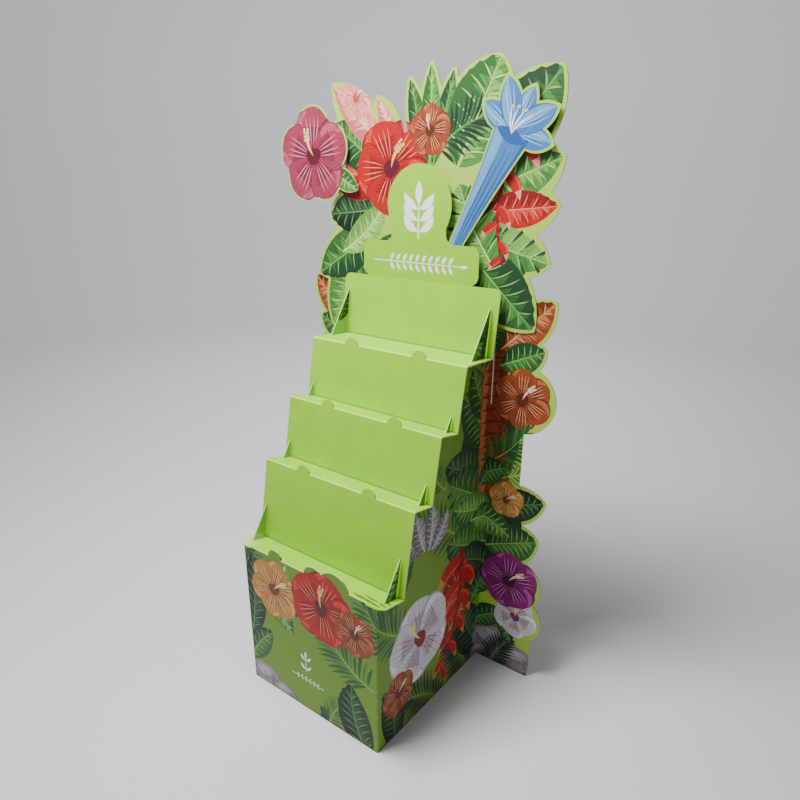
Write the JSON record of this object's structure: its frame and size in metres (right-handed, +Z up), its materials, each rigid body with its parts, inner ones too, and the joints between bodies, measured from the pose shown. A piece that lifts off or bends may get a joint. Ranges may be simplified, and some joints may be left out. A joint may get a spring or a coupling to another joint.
{
  "type": "cardboard display stand",
  "caption": "Stepped cardboard floor display with ledges for books, a die-cut leaf header, raised flower cut-outs and leaf wings",
  "frame": {"origin": "middle of the front panel's bottom edge, on the floor", "axes": "+Z up, +Y from the front panel to the back, +X to the viewer's right"},
  "size_m": [1.009, 0.5389, 1.7708],
  "materials": {
    "printed_board": "satin printed",
    "shelf_board": "satin printed",
    "plain_board": "matte kraft",
    "spacer_board": "matte kraft"
  },
  "bodies": {
    "root": {"body_wrap": "printed_board", "shelf_sheet": "shelf_board", "header_board": "printed_board", "left_cutout": "printed_board", "right_cutout": "printed_board", "left_spacers": "spacer_board", "right_spacers": "spacer_board", "back_panel": "plain_board"}
  },
  "joints": []
}
